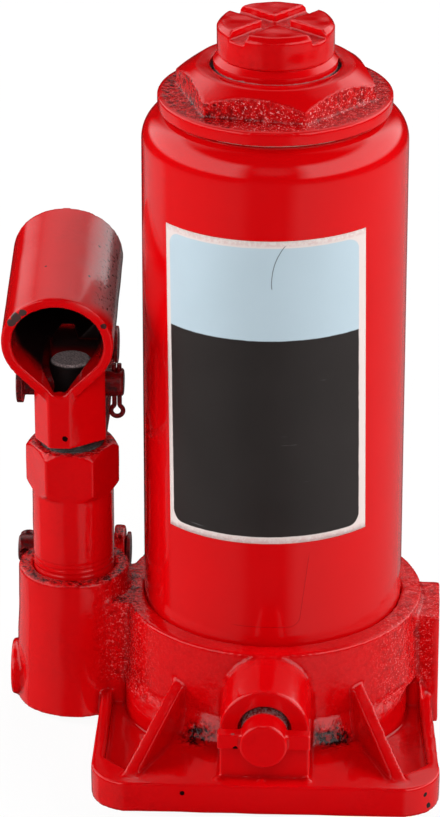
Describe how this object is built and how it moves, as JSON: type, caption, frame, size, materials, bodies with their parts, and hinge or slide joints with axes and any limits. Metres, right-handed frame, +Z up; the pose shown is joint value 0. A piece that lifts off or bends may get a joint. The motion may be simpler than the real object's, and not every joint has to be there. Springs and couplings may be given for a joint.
{
  "type": "hydraulic bottle jack",
  "caption": "Red hydraulic bottle jack: a ram with an extension screw rises from an oil tank on a cast base, pumped by a socket lever at its side and let down by a release valve.",
  "frame": {"origin": "on the floor under the ram's axis", "axes": "+Z up along the ram, -Y towards the release valve, -X towards the pump"},
  "size_m": [0.1282, 0.1227, 0.216],
  "materials": {
    "red_cast": "thick red gloss enamel over rough sand casting",
    "red_enamel": "red gloss enamel",
    "ram_steel": "ground and oiled",
    "pump_steel": "turned steel",
    "pin_steel": "steel oversprayed with red enamel",
    "ball_steel": "polished ball",
    "spring_steel": "drawn wire",
    "seal_rubber": "black oil-proof rubber",
    "white_nylon": "nylon",
    "copper": "soft copper"
  },
  "bodies": {
    "base": {"base_casting": "red_cast", "oil_tank": "red_enamel", "filler_plug": "seal_rubber", "tank_gasket": "white_nylon", "pressure_cylinder": "ram_steel", "cylinder_gasket": "white_nylon", "top_nut": "red_cast", "top_gasket": "white_nylon", "wiper_ring": "seal_rubber", "pump_barrel": "red_enamel", "barrel_washer": "copper", "plunger_packing": "seal_rubber", "packing_gland": "pump_steel", "anchor_pin": "pin_steel", "anchor_pin_cotter": "pin_steel", "discharge_plug": "pump_steel", "discharge_spring": "spring_steel", "safety_screw": "pump_steel", "safety_spring": "spring_steel"},
    "ram": {"ram": "ram_steel", "ram_seal": "seal_rubber", "seal_backup_ring": "white_nylon", "seal_retainer": "pump_steel", "retaining_ring": "pump_steel"},
    "screw_stop": {"screw_stop_ring": "pump_steel"},
    "screw": {"extension_screw": "red_enamel"},
    "plunger": {"pump_plunger": "pump_steel", "plunger_seal": "seal_rubber", "plunger_pin": "pin_steel", "plunger_pin_cotter": "pin_steel"},
    "socket": {"handle_socket": "red_enamel", "link_pin": "pin_steel", "link_pin_cotter": "pin_steel"},
    "link": {"link": "red_enamel"},
    "release_seal": {"release_o_ring": "seal_rubber"},
    "release": {"release_valve": "red_enamel"},
    "release_ball": {"release_ball": "ball_steel"},
    "suction_ball": {"suction_ball": "ball_steel"},
    "discharge_ball": {"discharge_ball": "ball_steel"},
    "safety_ball": {"safety_ball": "ball_steel"}
  },
  "joints": [
    {"name": "ram_lift", "type": "slide", "parent": "base", "child": "ram", "axis": [0, 0, 1], "range_m": [0, 0.127]},
    {"name": "screw_rise", "type": "slide", "parent": "ram", "child": "screw_stop", "axis": [0, 0, 1], "range_m": [0, 0.07]},
    {"name": "screw_turn", "type": "hinge", "parent": "screw_stop", "child": "screw", "pos_m": [0, 0, 0.2], "axis": [0, 0, 1], "range_deg": [0, 5040]},
    {"name": "plunger_stroke", "type": "slide", "parent": "base", "child": "plunger", "axis": [0, 0, 1], "range_m": [0, 0.0159]},
    {"name": "handle_swing", "type": "hinge", "parent": "plunger", "child": "socket", "pos_m": [-0.059, 0, 0.1037], "axis": [-1, 0, 0], "range_deg": [0, 36]},
    {"name": "link_swing", "type": "hinge", "parent": "base", "child": "link", "pos_m": [-0.059, 0.0244, 0.037], "axis": [1, 0, 0], "range_deg": [0, 4.5]},
    {"name": "release_travel", "type": "slide", "parent": "base", "child": "release_seal", "axis": [0, -1, 0], "range_m": [0, 0.0022]},
    {"name": "release_turn", "type": "hinge", "parent": "release_seal", "child": "release", "pos_m": [0, -0.05, 0.0246], "axis": [0, -1, 0], "range_deg": [0, 540]},
    {"name": "release_ball_lift", "type": "slide", "parent": "base", "child": "release_ball", "axis": [0, -1, 0], "range_m": [0, 0.0022]},
    {"name": "suction_lift", "type": "slide", "parent": "base", "child": "suction_ball", "axis": [0, 0, 1], "range_m": [0, 0.0014]},
    {"name": "discharge_lift", "type": "slide", "parent": "base", "child": "discharge_ball", "axis": [-1, 0, 0], "range_m": [0, 0.001], "stiffness_N_per_m": 50, "springref_m": -0.002, "deforming": ["discharge_spring"]},
    {"name": "safety_lift", "type": "slide", "parent": "base", "child": "safety_ball", "axis": [1, 0, 0], "range_m": [0, 0.001], "stiffness_N_per_m": 50, "springref_m": -0.002, "deforming": ["safety_spring"]}
  ],
  "couplings": [
    {"joint": "screw_turn", "follows": "screw_rise", "rad_per_m": 1256.6},
    {"joint": "plunger_stroke", "follows": "handle_swing", "m_per_rad": 0.02526},
    {"joint": "link_swing", "follows": "handle_swing", "ratio": 0.1231},
    {"joint": "release_turn", "follows": "release_travel", "rad_per_m": 4284},
    {"joint": "release_ball_lift", "follows": "release_travel", "ratio": 1}
  ]
}
